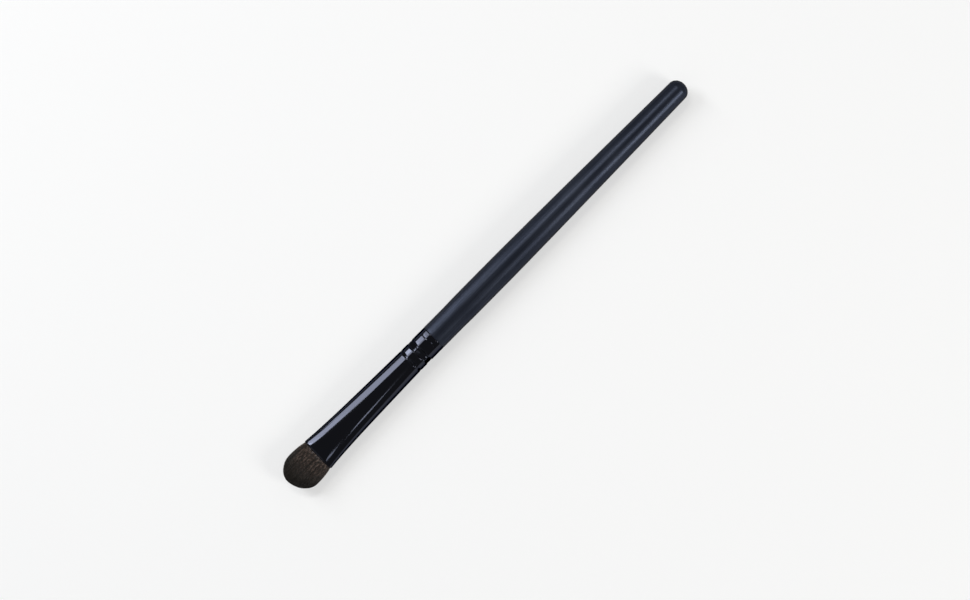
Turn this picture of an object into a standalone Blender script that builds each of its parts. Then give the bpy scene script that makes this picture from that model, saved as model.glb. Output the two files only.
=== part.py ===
"""Eyeshadow brush at its real size, in metres.

The brush lies along X with its hair towards +X and the broad faces of its ferrule up and
down, and rests on Z = 0 at the fullest stretch of its handle. Every piece is made
standing, with the handle's rounded end at 0 on its own Z axis, its thickness along X and
its width along Y, and one carrier lays them all down together.
"""

import math

import bmesh
import bpy
import numpy as np

# Clearance between pieces that touch
SEAT_GAP = 0.0003

# Distance under which points on the turning axis become one
MERGE_DISTANCE = 0.000002

# Handle, from its rounded end to the ferrule
HANDLE_LENGTH = 0.1046
HANDLE_END_RADIUS = 0.00324
HANDLE_FULL_RADIUS = 0.00424
HANDLE_DOME_DEPTH = 0.00275
HANDLE_LAND_LENGTH = 0.0145
HANDLE_NECK_LENGTH = 0.0136
NECK_EASE_SHARE = 0.45
SWELL_POWER = 1.25
TENON_NOSE_LENGTH = 0.004
TENON_NOSE_RADIUS_SHARE = 0.75
HANDLE_SIDES = 24
DOME_STEPS = 6
SWELL_STEPS = 9
NECK_STEPS = 4

# Ferrule, from its rear edge to its mouth
FERRULE_LENGTH = 0.0485
FERRULE_RADIUS = 0.004145
FERRULE_WALL = 0.0004
MOUTH_WIDTH = 0.0112
MOUTH_THICKNESS = 0.0042
RIM_ROUNDING = 0.0001
ROUND_POWER = 2.0
MOUTH_POWER = 2.5
EVEN_PRESSING_SHARE = 0.6
PRESSING_POWER = 5
FERRULE_SIDES = 48
PRESSED_STEPS = 11
STEP_EASE = 0.75
RIM_ANGLE = math.radians(60)

# Crimp that holds the ferrule on the tenon, each place following the one before it
RING_SETBACK = 0.00145
RING_WIDTH = 0.0005
RING_DEPTH = 0.00008
RING_TO_ROW = 0.00295
LONG_DENT_LENGTH = 0.0022
LONG_DENT_DEPTH = 0.00045
ROW_SPACING = 0.0021
SHORT_DENT_LENGTH = 0.0009
SHORT_DENT_DEPTH = 0.0003
DENT_RAMP_SHARE = 0.3
CRIMP_TO_TAPER = 0.0004
CRIMP_JAWS = 6
CRIMP_TURN = math.radians(37.5)

# Hair, with heights counted from the ferrule's mouth
HAIR_LENGTH = 0.0119
HAIR_WIDTH = 0.0120
HAIR_THICKNESS = 0.0053
HAIR_DOME_LENGTH = 0.0058
HAIR_RECESS = 0.0008
RESIN_SLICE = 0.0011
ROOT_DEPTH_SHARE = 0.5
LIP_TURN_HEIGHT = 0.0009
STRAND_TIP_LENGTH = 0.0012
HAIR_ROWS = 11
HAIR_COLUMNS = 37
STRAND_SIDES = 3
STRAND_CELL_SHARE = 0.46
STRAND_ROOT_SHARE = 0.9
STRAND_TIP_SHARE = 0.75
STRAND_SHIFT_SHARE = 0.03
STRAND_SHORT_SHARE = 0.03
STRAND_MIDDLE_SHARE = 0.52
TUFT_FILL_SHARE = 0.96
ROOT_SPREAD_SHARE = 0.96
SPREAD_POWER = 0.75
TIP_WIDTH_SHARE = 0.93
TIP_THICKNESS_SHARE = 0.5
DOME_FLATTENING_SHARE = 0.6
DOME_CROWN_SHARE = 0.22
SHELL_SHARE = 0.8
HAIR_SEED = 7

# Resin block that holds the roots, and the thread tied round its waist
ROOT_BLOCK_LENGTH = 0.0135
ROOT_BEAD_LENGTH = 0.0015
ROOT_CHAMFER = 0.0004
ROOT_STEPS = 5
THREAD_DIAMETER = 0.0004
THREAD_SPACING = 0.00045
THREAD_TURNS = 4
THREAD_POINTS = 16

# Cured glue ahead of the tenon
GLUE_LENGTH = 0.0025
GLUE_CROWN = 0.0007
GLUE_CROWN_SHARES = (1.0, 0.8, 0.45)

INNER_SIDES = 32

# Sizes that follow from those above
BRUSH_LENGTH = HANDLE_LENGTH + FERRULE_LENGTH + HAIR_LENGTH
AXIS_HEIGHT = HANDLE_FULL_RADIUS * math.cos(math.pi / HANDLE_SIDES)
FIRST_ROW = RING_SETBACK + RING_WIDTH + RING_TO_ROW
SECOND_ROW = FIRST_ROW + LONG_DENT_LENGTH + ROW_SPACING
CRIMP_ROWS = (
    (FIRST_ROW, LONG_DENT_LENGTH, LONG_DENT_DEPTH),
    (SECOND_ROW, SHORT_DENT_LENGTH, SHORT_DENT_DEPTH),
)
ROUND_LENGTH = SECOND_ROW + SHORT_DENT_LENGTH + CRIMP_TO_TAPER
TENON_LENGTH = ROUND_LENGTH + TENON_NOSE_LENGTH
TENON_RADIUS = FERRULE_RADIUS - FERRULE_WALL - SEAT_GAP
SLICE_FRONT = FERRULE_LENGTH - HAIR_RECESS
SLICE_REAR = SLICE_FRONT - RESIN_SLICE
BLOCK_FRONT = SLICE_REAR - SEAT_GAP
BLOCK_REAR = BLOCK_FRONT - ROOT_BLOCK_LENGTH
THREAD_PITCH = THREAD_DIAMETER + THREAD_SPACING
WAIST_LENGTH = THREAD_TURNS * THREAD_PITCH + THREAD_DIAMETER + 2 * SEAT_GAP
WAIST_DEPTH = THREAD_DIAMETER + SEAT_GAP
INNER_INSET = FERRULE_WALL + SEAT_GAP


def new_material(name, color, roughness, metallic):
    """A plain finish, its colour, roughness and metallic value set on its shader."""
    finish = bpy.data.materials.new(name)
    finish.use_nodes = True
    shader = finish.node_tree.nodes["Principled BSDF"]
    shader.inputs["Base Color"].default_value = (*color, 1.0)
    shader.inputs["Roughness"].default_value = roughness
    shader.inputs["Metallic"].default_value = metallic
    finish.diffuse_color = (*color, 1.0)
    return finish


def add_object(name, data, collection, finish=None, carrier=None):
    """An object in its collection, with its finish, on the carrier if it has one."""
    item = bpy.data.objects.new(name, data)
    collection.objects.link(item)
    item.parent = carrier
    if finish:
        data.materials.append(finish)
    return item


def crimp_profile(under=0.0):
    """Places along the crimp's rows of dents, each with how deep it is pressed.

    The profile is the skin's own, or runs even with it at a distance under it.
    """
    points = []
    for start, length, depth in CRIMP_ROWS:
        ramp = length * DENT_RAMP_SHARE
        shift = under * math.tan(math.atan2(depth, ramp) / 2)
        points += [
            (start - shift, 0.0),
            (start + ramp - shift, depth),
            (start + length - ramp + shift, depth),
            (start + length + shift, 0.0),
        ]
    return points


def pressing(place):
    """How far the tube is pressed flat at a place from its rear edge, up to 1 at its mouth."""
    run = max(0.0, (place - ROUND_LENGTH) / (FERRULE_LENGTH - ROUND_LENGTH))
    return EVEN_PRESSING_SHARE * run + (1 - EVEN_PRESSING_SHARE) * run**PRESSING_POWER


def ferrule_section(place, inset=0.0):
    """Half thickness, half width and squareness of the ferrule at a place, drawn in by inset."""
    pressed = pressing(place)
    half_thickness = FERRULE_RADIUS + (MOUTH_THICKNESS / 2 - FERRULE_RADIUS) * pressed
    half_width = FERRULE_RADIUS + (MOUTH_WIDTH / 2 - FERRULE_RADIUS) * pressed
    power = ROUND_POWER + (MOUTH_POWER - ROUND_POWER) * pressed
    return half_thickness - inset, half_width - inset, power


def oval_point(section, angle, height):
    """The point of a squared oval at an angle from +X, at a height."""
    half_thickness, half_width, power = section
    across, along = math.cos(angle), math.sin(angle)
    x = half_thickness * math.copysign(abs(across) ** (2 / power), across)
    y = half_width * math.copysign(abs(along) ** (2 / power), along)
    return x, y, height


def oval_loop(section, sides, height):
    """The points of a squared oval, counterclockwise seen from its +Z side."""
    return [oval_point(section, math.tau * side / sides, height) for side in range(sides)]


def loft(name, loops, capped=True):
    """A skin through rising loops of points, closed at both ends if it is capped."""
    shape = bmesh.new()
    rings = [[shape.verts.new(point) for point in loop] for loop in loops]
    for lower, upper in zip(rings, rings[1:]):
        for side, corner in enumerate(lower):
            following = (side + 1) % len(lower)
            shape.faces.new((corner, lower[following], upper[following], upper[side]))
    if capped:
        shape.faces.new(reversed(rings[0]))
        shape.faces.new(rings[-1])
    mesh = bpy.data.meshes.new(name)
    shape.to_mesh(mesh)
    shape.free()
    mesh.shade_smooth()
    mesh.set_sharp_from_angle(angle=RIM_ANGLE)
    return mesh


def handle_profile():
    """Radius and height of the turned outline, from the tenon's nose down to the rounded end."""
    land_end = HANDLE_LENGTH - HANDLE_NECK_LENGTH
    land_start = land_end - HANDLE_LAND_LENGTH
    outline = []
    for step in range(DOME_STEPS):
        turn = math.pi / 2 * step / DOME_STEPS
        radius = HANDLE_END_RADIUS * math.sin(turn)
        outline.append((radius, HANDLE_DOME_DEPTH * (1 - math.cos(turn))))
    for step in range(SWELL_STEPS):
        run = step / SWELL_STEPS
        swell = 1 - (1 - run) ** SWELL_POWER
        radius = HANDLE_END_RADIUS + (HANDLE_FULL_RADIUS - HANDLE_END_RADIUS) * swell
        outline.append((radius, HANDLE_DOME_DEPTH + (land_start - HANDLE_DOME_DEPTH) * run))
    outline.append((HANDLE_FULL_RADIUS, land_start))
    for step in range(NECK_STEPS + 1):
        run = step / NECK_STEPS
        ease = (1 - math.cos(math.pi * run)) / 2
        radius = HANDLE_FULL_RADIUS + (FERRULE_RADIUS - HANDLE_FULL_RADIUS) * ease
        outline.append((radius, land_end + HANDLE_NECK_LENGTH * NECK_EASE_SHARE * run))
    outline.append((FERRULE_RADIUS, HANDLE_LENGTH - SEAT_GAP))
    outline.append((TENON_RADIUS, HANDLE_LENGTH - SEAT_GAP))
    for place, depth in crimp_profile(INNER_INSET):
        outline.append((TENON_RADIUS - depth, HANDLE_LENGTH + place))
    outline.append((TENON_RADIUS, HANDLE_LENGTH + ROUND_LENGTH))
    outline.append((TENON_RADIUS * TENON_NOSE_RADIUS_SHARE, HANDLE_LENGTH + TENON_LENGTH))
    outline.append((0.0, HANDLE_LENGTH + TENON_LENGTH))
    return outline[::-1]


def make_handle(collection, finish, carrier):
    """The turned handle with its tenon, one flat facet of it facing down."""
    profile = handle_profile()
    mesh = bpy.data.meshes.new("handle")
    points = [(radius, 0.0, height) for radius, height in profile]
    edges = [(index, index + 1) for index in range(len(points) - 1)]
    mesh.from_pydata(points, edges, [])
    handle = add_object("handle", mesh, collection, finish, carrier)
    handle.rotation_euler.z = math.pi / HANDLE_SIDES
    turning = handle.modifiers.new("turning", "SCREW")
    turning.steps = HANDLE_SIDES
    turning.render_steps = HANDLE_SIDES
    turning.use_merge_vertices = True
    turning.merge_threshold = MERGE_DISTANCE
    turning.use_smooth_shade = True
    return handle


def dent_loop(place, depth, section):
    """A ferrule loop pressed flat under each jaw of the crimp."""
    loop = []
    spacing = math.tau / CRIMP_JAWS
    for side in range(FERRULE_SIDES):
        angle = math.tau * side / FERRULE_SIDES
        off_jaw = (angle - CRIMP_TURN + spacing / 2) % spacing - spacing / 2
        pressed = max(0.0, FERRULE_RADIUS - (FERRULE_RADIUS - depth) / math.cos(off_jaw))
        half_thickness, half_width, power = section
        dented = (half_thickness - pressed, half_width - pressed, power)
        loop.append(oval_point(dented, angle, HANDLE_LENGTH + place))
    return loop


def make_ferrule(collection, finish, carrier):
    """The drawn tube: round, ringed and crimped at its rear, pressed flat at its mouth."""
    round_section = ferrule_section(0.0)
    ring_middle = RING_SETBACK + RING_WIDTH / 2
    ringed = ferrule_section(0.0, inset=RING_DEPTH)
    loops = [
        oval_loop(round_section, FERRULE_SIDES, HANDLE_LENGTH),
        oval_loop(round_section, FERRULE_SIDES, HANDLE_LENGTH + RING_SETBACK),
        oval_loop(ringed, FERRULE_SIDES, HANDLE_LENGTH + ring_middle),
        oval_loop(round_section, FERRULE_SIDES, HANDLE_LENGTH + RING_SETBACK + RING_WIDTH),
    ]
    loops += [dent_loop(place, depth, round_section) for place, depth in crimp_profile()]
    for step in range(PRESSED_STEPS + 1):
        run = (step / PRESSED_STEPS) ** STEP_EASE
        place = ROUND_LENGTH + (FERRULE_LENGTH - ROUND_LENGTH) * run
        loops.append(oval_loop(ferrule_section(place), FERRULE_SIDES, HANDLE_LENGTH + place))
    ferrule = add_object("ferrule", loft("ferrule", loops, False), collection, finish, carrier)
    wall = ferrule.modifiers.new("wall", "SOLIDIFY")
    wall.thickness = FERRULE_WALL
    wall.offset = -1
    wall.use_even_offset = True
    rims = ferrule.modifiers.new("rims", "BEVEL")
    rims.width = RIM_ROUNDING
    rims.segments = 1
    rims.limit_method = "ANGLE"
    rims.angle_limit = RIM_ANGLE
    return ferrule


def hair_section(height):
    """Half thickness and half width of the tuft at a height over the mouth."""
    rear_thickness, rear_width, _ = ferrule_section(SLICE_FRONT, inset=INNER_INSET)
    rear_thickness *= ROOT_SPREAD_SHARE
    rear_width *= ROOT_SPREAD_SHARE
    fullest = HAIR_LENGTH - HAIR_DOME_LENGTH
    if height <= fullest:
        run = max(0.0, (height + HAIR_RECESS) / (fullest + HAIR_RECESS))
        spread = math.sin(math.pi / 2 * run) ** SPREAD_POWER
        half_thickness = rear_thickness + (HAIR_THICKNESS / 2 - rear_thickness) * spread
        return half_thickness, rear_width + (HAIR_WIDTH / 2 - rear_width) * spread
    closing = ((height - fullest) / HAIR_DOME_LENGTH) ** 2
    half_thickness = HAIR_THICKNESS / 2 * (1 - (1 - TIP_THICKNESS_SHARE) * closing)
    return half_thickness, HAIR_WIDTH / 2 * (1 - (1 - TIP_WIDTH_SHARE) * closing)


def strand_places():
    """Where the strands stand in the tuft, as shares of its half thickness and half width."""
    places = []
    for row in range(HAIR_ROWS):
        stagger = 0.5 * ((row + 1) % 2)
        for column in range(HAIR_COLUMNS):
            across = (2 * row + 1) / HAIR_ROWS - 1
            along = (2 * (column + stagger) + 1) / HAIR_COLUMNS - 1
            if abs(across) ** MOUTH_POWER + abs(along) ** MOUTH_POWER <= TUFT_FILL_SHARE:
                places.append((across, along))
    return places


def dome_spread(across, along):
    """How far from the dome's crown a place in the tuft is, from 0 there to 1 at the edge.

    The crown lies off the axis towards -Y, so the dome falls steeply there and slants
    down on the other side.
    """
    from_crown = along + DOME_CROWN_SHARE
    side_reach = 1 + math.copysign(DOME_CROWN_SHARE, from_crown)
    return min(1.0, math.hypot(across * DOME_FLATTENING_SHARE, from_crown / side_reach))


def strand_rings(across, along, short):
    """Height and thickness share of each ring of a strand, and the height of its tip."""
    spread = dome_spread(across, along)
    drop = HAIR_DOME_LENGTH * (1 - math.sqrt(1 - spread**2))
    tip = (HAIR_LENGTH - drop) * (1 - short * spread)
    shoulder = tip - STRAND_TIP_LENGTH
    rings = [
        (-HAIR_RECESS - RESIN_SLICE * ROOT_DEPTH_SHARE, STRAND_ROOT_SHARE),
        (-HAIR_RECESS, STRAND_ROOT_SHARE),
    ]
    in_shell = abs(across) ** MOUTH_POWER + abs(along) ** MOUTH_POWER > SHELL_SHARE**MOUTH_POWER
    if in_shell:
        rings.append((LIP_TURN_HEIGHT, 1.0))
    rings.append((shoulder * STRAND_MIDDLE_SHARE, 1.0))
    rings.append((shoulder, STRAND_TIP_SHARE))
    return rings, tip


def add_strand(shape, across, along, turn, short):
    """One closed strand, tapered to a point, that keeps to its own cell of the tuft."""
    heights, tip = strand_rings(across, along, short)
    loops = []
    for height, share in heights:
        half_thickness, half_width = hair_section(height)
        loop = []
        for side in range(STRAND_SIDES):
            angle = turn + math.tau * side / STRAND_SIDES
            reach = 2 * STRAND_CELL_SHARE * share
            x = half_thickness * (across + reach / HAIR_ROWS * math.cos(angle))
            y = half_width * (along + reach / HAIR_COLUMNS * math.sin(angle))
            loop.append(shape.verts.new((x, y, HANDLE_LENGTH + (FERRULE_LENGTH + height))))
        loops.append(loop)
    half_thickness, half_width = hair_section(tip)
    top = HANDLE_LENGTH + FERRULE_LENGTH + tip
    point = shape.verts.new((half_thickness * across, half_width * along, top))
    shape.faces.new(reversed(loops[0]))
    for side in range(STRAND_SIDES):
        following = (side + 1) % STRAND_SIDES
        for lower, upper in zip(loops, loops[1:]):
            shape.faces.new((lower[side], lower[following], upper[following], upper[side]))
        shape.faces.new((loops[-1][side], loops[-1][following], point))


def make_strands(collection):
    """All the strands of the tuft, each a closed body that crosses no other."""
    chance = np.random.default_rng(HAIR_SEED)
    shape = bmesh.new()
    for across, along in strand_places():
        shift_across, shift_along = chance.uniform(-STRAND_SHIFT_SHARE, STRAND_SHIFT_SHARE, 2)
        turn = chance.uniform(0.0, math.tau)
        short = chance.uniform(0.0, STRAND_SHORT_SHARE)
        across += 2 * shift_across / HAIR_ROWS
        along += 2 * shift_along / HAIR_COLUMNS
        add_strand(shape, across, along, turn, short)
    mesh = bpy.data.meshes.new("strands")
    shape.to_mesh(mesh)
    shape.free()
    return add_object("strands", mesh, collection)


def inner_loop(place, inset=0.0, sides=INNER_SIDES):
    """A loop that keeps its clearance to the inside of the ferrule, drawn in by inset."""
    section = ferrule_section(place, inset=INNER_INSET + inset)
    return oval_loop(section, sides, HANDLE_LENGTH + place)


def make_hair(collection, tools, finish, carrier):
    """The strands, rooted in the front slice of the resin that binds them.

    They are joined while both still stand, where each strand has a ring exactly on the
    resin's face, so that the union cuts no strand.
    """
    loops = [inner_loop(place, sides=FERRULE_SIDES) for place in (SLICE_REAR, SLICE_FRONT)]
    tuft = add_object("hair_tuft", loft("hair_tuft", loops), collection, finish)
    strands = make_strands(tools)
    strands.hide_render = True
    strands.display_type = "WIRE"
    rooting = tuft.modifiers.new("rooting", "BOOLEAN")
    rooting.operation = "UNION"
    rooting.solver = "EXACT"
    rooting.object = strands
    bpy.context.view_layer.update()
    evaluated = tuft.evaluated_get(bpy.context.evaluated_depsgraph_get())
    tuft.data = bpy.data.meshes.new_from_object(evaluated)
    tuft.modifiers.clear()
    tuft.parent = carrier
    return tuft


def make_root_block(collection, finish, carrier):
    """The resin that binds the roots, with a bead behind the waist where it is tied."""
    waist_start = BLOCK_REAR + ROOT_BEAD_LENGTH
    waist_end = waist_start + WAIST_LENGTH
    loops = [
        inner_loop(BLOCK_REAR, inset=ROOT_CHAMFER),
        inner_loop(BLOCK_REAR + ROOT_CHAMFER),
        inner_loop(waist_start),
        inner_loop(waist_start, inset=WAIST_DEPTH),
        inner_loop(waist_end, inset=WAIST_DEPTH),
    ]
    for step in range(ROOT_STEPS + 1):
        loops.append(inner_loop(waist_end + (BLOCK_FRONT - waist_end) * step / ROOT_STEPS))
    return add_object("root_block", loft("root_block", loops), collection, finish, carrier)


def thread_path():
    """Points of the thread's turns, in the middle of the waist's free space."""
    start = BLOCK_REAR + ROOT_BEAD_LENGTH + SEAT_GAP + THREAD_DIAMETER / 2
    points = []
    for index in range(THREAD_TURNS * THREAD_POINTS + 1):
        turned = index / THREAD_POINTS
        place = start + THREAD_PITCH * turned
        section = ferrule_section(place, inset=INNER_INSET + THREAD_DIAMETER / 2)
        points.append(oval_point(section, math.tau * turned, HANDLE_LENGTH + place))
    return points


def least_thread_gap(points):
    """The least gap between one turn of the thread and the next, measured on its points."""
    line = np.array(points)
    gaps = []
    for index in range(len(line) - THREAD_POINTS // 2):
        later = line[index + THREAD_POINTS // 2:]
        gaps.append(np.linalg.norm(later - line[index], axis=1).min())
    return min(gaps) - THREAD_DIAMETER


def make_thread(collection, finish, carrier):
    """The thread wound round the waist of the root block, one unbroken tube."""
    points = thread_path()
    print(f"Least gap of the thread to itself: {least_thread_gap(points) * 1000:.2f} mm")
    winding = bpy.data.curves.new("binding_thread", "CURVE")
    winding.dimensions = "3D"
    winding.bevel_depth = THREAD_DIAMETER / 2
    winding.bevel_resolution = 1
    winding.use_fill_caps = True
    line = winding.splines.new("POLY")
    line.points.add(len(points) - 1)
    for place, point in zip(line.points, points):
        place.co = (*point, 1.0)
    return add_object("binding_thread", winding, collection, finish, carrier)


def make_glue(collection, finish, carrier):
    """The glue that was pushed ahead of the tenon and set, with a crowned front."""
    rear = TENON_LENGTH + SEAT_GAP
    crown_start = rear + GLUE_LENGTH - GLUE_CROWN
    loops = [inner_loop(rear)]
    for step, share in enumerate(GLUE_CROWN_SHARES):
        place = crown_start + GLUE_CROWN * step / (len(GLUE_CROWN_SHARES) - 1)
        half_thickness, half_width, power = ferrule_section(place, inset=INNER_INSET)
        crown = (half_thickness * share, half_width * share, power)
        loops.append(oval_loop(crown, INNER_SIDES, HANDLE_LENGTH + place))
    return add_object("tenon_glue", loft("tenon_glue", loops), collection, finish, carrier)


def clear_scene():
    """Removes whatever the scene holds."""
    for item in list(bpy.data.objects):
        bpy.data.objects.remove(item, do_unlink=True)


def main():
    """Makes every piece and lays the brush down."""
    clear_scene()
    brush = bpy.data.collections.new("eyeshadow_brush")
    tools = bpy.data.collections.new("tools")
    for collection in (brush, tools):
        bpy.context.scene.collection.children.link(collection)
    carrier = add_object("carrier", None, brush)
    carrier.location = (-BRUSH_LENGTH / 2, 0.0, AXIS_HEIGHT)
    carrier.rotation_euler.y = math.pi / 2

    lacquer = new_material("satin_black_lacquer", (0.013, 0.015, 0.019), 0.34, 0.0)
    enamel = new_material("gloss_black_enamel", (0.006, 0.006, 0.007), 0.12, 0.0)
    hair = new_material("dark_brown_hair", (0.033, 0.025, 0.020), 0.55, 0.0)
    resin = new_material("amber_resin", (0.36, 0.20, 0.07), 0.25, 0.0)
    thread = new_material("black_thread", (0.02, 0.02, 0.02), 0.8, 0.0)
    glue = new_material("cured_glue", (0.75, 0.70, 0.58), 0.4, 0.0)

    make_handle(brush, lacquer, carrier)
    make_ferrule(brush, enamel, carrier)
    make_hair(brush, tools, hair, carrier)
    make_root_block(brush, resin, carrier)
    make_thread(brush, thread, carrier)
    make_glue(brush, glue, carrier)


main()
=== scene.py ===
"""Looks of an eyeshadow brush: its fine surfaces, its hair, its finishes and a small studio.

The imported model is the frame. The brush lies along X with its hair towards +X and the
broad faces of its ferrule up and down. Every length is in metres. A turn is an angle
round the brush's own axis, counted from straight up towards -Y.
"""

from __future__ import annotations

import logging
import math
from collections.abc import Sequence
from dataclasses import dataclass
from enum import Enum

import bpy
import numpy as np
from mathutils import Matrix, Vector


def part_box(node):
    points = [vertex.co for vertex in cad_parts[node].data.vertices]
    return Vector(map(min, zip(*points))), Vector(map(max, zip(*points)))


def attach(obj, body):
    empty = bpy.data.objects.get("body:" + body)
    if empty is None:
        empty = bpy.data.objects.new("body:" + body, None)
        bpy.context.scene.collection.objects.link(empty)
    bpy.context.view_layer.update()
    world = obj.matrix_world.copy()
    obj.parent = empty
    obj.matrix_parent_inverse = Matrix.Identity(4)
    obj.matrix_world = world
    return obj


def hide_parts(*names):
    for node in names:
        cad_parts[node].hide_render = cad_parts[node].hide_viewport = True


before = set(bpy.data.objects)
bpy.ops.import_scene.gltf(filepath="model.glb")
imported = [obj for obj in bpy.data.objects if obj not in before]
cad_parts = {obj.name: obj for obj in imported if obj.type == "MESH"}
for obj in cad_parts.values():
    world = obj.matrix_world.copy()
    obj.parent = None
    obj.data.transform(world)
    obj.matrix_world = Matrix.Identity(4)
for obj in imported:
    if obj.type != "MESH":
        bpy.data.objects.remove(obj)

LOG = logging.getLogger("brush")
MM = 0.001
Colour = tuple[float, float, float]
Pair = tuple[float, float]


class Slot(Enum):
    """The record's material slots."""

    LACQUER = "handle_lacquer"
    ENAMEL = "ferrule_enamel"
    HAIR = "hair"
    RESIN = "root_resin"
    THREAD = "thread"
    GLUE = "glue"


class Wire:
    """An output socket of a node tree. Arithmetic on it adds Math nodes."""

    def __init__(self, graph: Graph, socket: bpy.types.NodeSocket) -> None:
        """Keeps the socket and the graph that new nodes go into."""
        self.graph = graph
        self.socket = socket

    def math(self, operation: str, *others: object) -> Wire:
        """Returns the result of a Math node whose first input is self."""
        return self.graph.math(operation, self, *others)

    def __add__(self, other: object) -> Wire:
        """Returns self + other."""
        return self.math("ADD", other)

    def __sub__(self, other: object) -> Wire:
        """Returns self - other."""
        return self.math("SUBTRACT", other)

    def __rsub__(self, other: object) -> Wire:
        """Returns other - self."""
        return self.graph.math("SUBTRACT", other, self)

    def __mul__(self, other: object) -> Wire:
        """Returns self * other."""
        return self.math("MULTIPLY", other)

    def __truediv__(self, other: object) -> Wire:
        """Returns self / other."""
        return self.math("DIVIDE", other)

    def __pow__(self, other: object) -> Wire:
        """Returns self ** other."""
        return self.math("POWER", other)

    def __abs__(self) -> Wire:
        """Returns the size of self without its sign."""
        return self.math("ABSOLUTE")

    def ramp(self, start: object, end: object, smooth: bool = False) -> Wire:
        """Rises from 0 at start to 1 at end, eased if smooth. The end may be the lower one."""
        kind = "SMOOTHSTEP" if smooth else "LINEAR"
        return self.graph.add("ShaderNodeMapRange", self, start, end, interpolation_type=kind)["Result"]

    __radd__ = __add__
    __rmul__ = __mul__


class Node:
    """A node whose outputs are asked for by name."""

    def __init__(self, graph: Graph, node: bpy.types.Node) -> None:
        """Keeps the node and its graph."""
        self.graph = graph
        self.node = node

    def __getitem__(self, name: str) -> Wire:
        """Returns the output with this identifier or name."""
        return Wire(self.graph, find_socket(self.node.outputs, name))


def find_socket(sockets: bpy.types.bpy_prop_collection, key: str) -> bpy.types.NodeSocket:
    """Finds a socket of a node.

    Args:
        sockets: The node's inputs or outputs.
        key: A socket's identifier, or its name with underscores for spaces.

    Returns:
        The socket. Where several enabled ones share a name, it is the first.
    """
    for socket in sockets:
        if socket.identifier == key:
            return socket
    name = key.replace("_", " ")
    return next(socket for socket in sockets if socket.name == name and socket.enabled)


class Graph:
    """A node tree that is written as expressions."""

    def __init__(self, tree: bpy.types.NodeTree) -> None:
        """Keeps the tree."""
        self.tree = tree

    def add(self, kind: str, *values: object, **named: object) -> Node:
        """Adds a node of any type.

        Args:
            kind: The node's type, as Blender names it.
            *values: What its first inputs get, in order.
            **named: The node's own settings, all in lower case, which are set first, and
                what its other inputs get. A colour ramp's stops are one of the settings.

        Returns:
            The node.
        """
        node = self.tree.nodes.new(kind)
        settings = {name: value for name, value in named.items() if name.islower()}
        for name, value in settings.items():
            if name == "stops":
                self.set_stops(node.color_ramp, value)
            else:
                setattr(node, name, value)
        for socket, value in zip(node.inputs, values):
            self.fill(socket, value)
        for name, value in named.items():
            if name not in settings:
                self.fill(find_socket(node.inputs, name), value)
        return Node(self, node)

    def fill(self, socket: bpy.types.NodeSocket, value: object) -> None:
        """Links or sets an input.

        Args:
            socket: The input.
            value: The wire that is linked to it, or its number, colour or vector.
        """
        if isinstance(value, Wire):
            self.tree.links.new(value.socket, socket)
        else:
            socket.default_value = (*value, 1.0) if socket.type == "RGBA" else value

    @staticmethod
    def set_stops(ramp: bpy.types.ColorRamp, stops: Sequence[tuple[float, Colour]]) -> None:
        """Gives a colour ramp its stops.

        Args:
            ramp: The ramp, which has no more stops than it needs.
            stops: The places of the stops, each with its colour.
        """
        while len(ramp.elements) < len(stops):
            ramp.elements.new(1.0)
        for element, (place, colour) in zip(ramp.elements, stops):
            element.position = place
            element.color = (*colour, 1.0)

    def math(self, operation: str, *values: object) -> Wire:
        """Returns the result of a Math node on numbers and wires."""
        return self.add("ShaderNodeMath", *values, operation=operation)["Value"]

    def vector(self, operation: str, *values: object, **sockets: object) -> Wire:
        """Returns the result of a Vector Math node."""
        return self.add("ShaderNodeVectorMath", *values, operation=operation, **sockets)["Vector"]

    def mix(self, factor: object, low: object, high: object) -> Wire:
        """Returns a mix of two colours, each a colour or a wire."""
        sockets = {"Factor_Float": factor, "A_Color": low, "B_Color": high}
        return self.add("ShaderNodeMix", data_type="RGBA", **sockets)["Result_Color"]

    def joined(self, x: object, y: object, z: object) -> Wire:
        """Returns a vector made of three numbers."""
        return self.add("ShaderNodeCombineXYZ", x, y, z)["Vector"]

    def split(self, vector: Wire) -> tuple[Wire, Wire, Wire]:
        """Returns the three coordinates of a vector."""
        parts = self.add("ShaderNodeSeparateXYZ", vector)
        return parts["X"], parts["Y"], parts["Z"]


@dataclass(frozen=True)
class Pattern:
    """A cloudy pattern: its patches' size and stretch along the brush, and its finer layers."""

    size: float
    stretch: float = 1.0
    detail: float = 2.0


class Surface(Graph):
    """The node tree of one material, built round its Principled shader."""

    def __init__(self, name: str) -> None:
        """Makes the material and finds its shader.

        Args:
            name: The material's name.
        """
        self.material = bpy.data.materials.new(name)
        self.material.use_nodes = True
        super().__init__(self.material.node_tree)
        self.shader = self.tree.nodes["Principled BSDF"]
        self.place = self.add("ShaderNodeTexCoord")["Object"]

    def finished(self, **sockets: object) -> bpy.types.Material:
        """Fills the shader's inputs.

        Args:
            **sockets: What each input gets, under its name.

        Returns:
            The material.
        """
        for name, value in sockets.items():
            self.fill(find_socket(self.shader.inputs, name), value)
        return self.material

    def noise(self, pattern: Pattern) -> Wire:
        """Lays a cloudy pattern on the piece.

        Args:
            pattern: The pattern.

        Returns:
            A value that wavers round a half.
        """
        size = pattern.size
        scale = (1 / (size * pattern.stretch), 1 / size, 1 / size)
        mapped = self.add("ShaderNodeMapping", Vector=self.place, Scale=scale)["Vector"]
        return self.add("ShaderNodeTexNoise", Vector=mapped, Scale=1.0, Detail=pattern.detail)["Fac"]

    def bump(self, height: Wire, distance: float) -> Wire:
        """Returns a normal that is bent by a height pattern."""
        return self.add("ShaderNodeBump", Height=height, Distance=distance)["Normal"]

    def value(self, name: str) -> Wire:
        """Returns a number that the mesh carries under a name."""
        return self.add("ShaderNodeAttribute", attribute_name=name)["Fac"]


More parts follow.
